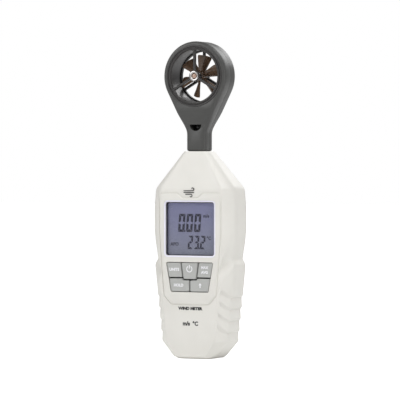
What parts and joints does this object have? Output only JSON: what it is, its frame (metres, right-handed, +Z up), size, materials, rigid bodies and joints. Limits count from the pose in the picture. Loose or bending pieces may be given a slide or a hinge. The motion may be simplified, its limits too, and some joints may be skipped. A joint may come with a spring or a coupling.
{
  "type": "handheld weather meter",
  "caption": "Handheld weather meter: a vane wind and temperature sensor head on a narrow neck above a two-shell body with a display, rubber-backed keys and a sliding battery door.",
  "frame": {"origin": "middle of the flat bottom, at the centre of the whole object's width and depth", "axes": "+Z up through the neck to the sensor head, -Y out of the display and the keys, +X to the display's right as a reader sees it"},
  "size_m": [0.054, 0.028, 0.1898],
  "materials": {
    "body_plastic": "fine satin moulding texture",
    "head_plastic": "satin dark grey",
    "dark_plastic": "matte",
    "key_plastic": "satin grey with white legends",
    "rubber": "matte",
    "clear_plastic": "clear window",
    "display_glass": "blue-grey liquid crystal",
    "backlight_plastic": "diffuser white",
    "circuit_board": "green solder resist",
    "steel": "plated",
    "chrome": "polished",
    "copper": "enamelled winding",
    "jewel": "polished jewel",
    "blade_plastic": "smoky brown, slightly translucent",
    "cell_sleeve": "plain printed sleeve"
  },
  "bodies": {
    "meter": {"front_casing": "body_plastic", "rear_casing": "body_plastic", "lcd_window": "clear_plastic", "lcd_panel": "display_glass", "lcd_backlight": "backlight_plastic", "lcd_frame": "dark_plastic", "contact_strip_1": "rubber", "contact_strip_2": "rubber", "main_board": "circuit_board", "board_screw_1": "steel", "board_screw_2": "steel", "controller_chip": "dark_plastic", "crystal": "steel", "capacitor": "dark_plastic", "buzzer": "dark_plastic", "lead_connector": "backlight_plastic", "keypad_mat": "rubber", "units_switch": "steel", "power_switch": "steel", "max_switch": "steel", "hold_switch": "steel", "up_switch": "steel", "battery_cell_1": "cell_sleeve", "battery_cell_2": "cell_sleeve", "battery_cell_3": "cell_sleeve", "battery_spring_1": "steel", "battery_spring_2": "steel", "battery_spring_3": "steel", "contact_minus": "steel", "contact_link_low": "steel", "contact_link_top": "steel", "contact_plus": "steel", "case_screw_1": "steel", "case_screw_2": "steel", "case_screw_3": "steel", "case_screw_4": "steel", "head_front_shell": "head_plastic", "head_rear_shell": "head_plastic", "duct_barrel": "head_plastic", "rear_guard": "head_plastic", "front_bearing": "chrome", "rear_bearing": "chrome", "front_jewel": "jewel", "rear_jewel": "jewel", "pickup_board": "circuit_board", "pickup_coil": "copper", "temperature_sensor": "dark_plastic", "sensor_lead": "rubber", "head_screw_1": "steel", "head_screw_2": "steel"},
    "impeller": {"impeller": "blade_plastic", "impeller_shaft": "steel", "rotor_magnet": "steel"},
    "battery_door": {"battery_door": "body_plastic"},
    "units_key": {"units_key": "key_plastic"},
    "power_key": {"power_key": "key_plastic"},
    "max_key": {"max_key": "key_plastic"},
    "hold_key": {"hold_key": "key_plastic"},
    "up_key": {"up_key": "key_plastic"}
  },
  "joints": [
    {"name": "impeller_spin", "type": "hinge", "parent": "meter", "child": "impeller", "pos_m": [0, -0.0006, 0.169], "axis": [0, 1, 0], "continuous": true},
    {"name": "battery_door_slide", "type": "slide", "parent": "meter", "child": "battery_door", "axis": [0, 0, -1], "range_m": [0, 0.015]},
    {"name": "units_key_press", "type": "slide", "parent": "meter", "child": "units_key", "axis": [0, 1, 0], "range_m": [0, 0.0008], "stiffness_N_per_m": 800, "springref_m": -0.0005},
    {"name": "power_key_press", "type": "slide", "parent": "meter", "child": "power_key", "axis": [0, 1, 0], "range_m": [0, 0.0008], "stiffness_N_per_m": 800, "springref_m": -0.0005},
    {"name": "max_key_press", "type": "slide", "parent": "meter", "child": "max_key", "axis": [0, 1, 0], "range_m": [0, 0.0008], "stiffness_N_per_m": 800, "springref_m": -0.0005},
    {"name": "hold_key_press", "type": "slide", "parent": "meter", "child": "hold_key", "axis": [0, 1, 0], "range_m": [0, 0.0008], "stiffness_N_per_m": 800, "springref_m": -0.0005},
    {"name": "up_key_press", "type": "slide", "parent": "meter", "child": "up_key", "axis": [0, 1, 0], "range_m": [0, 0.0008], "stiffness_N_per_m": 800, "springref_m": -0.0005}
  ]
}
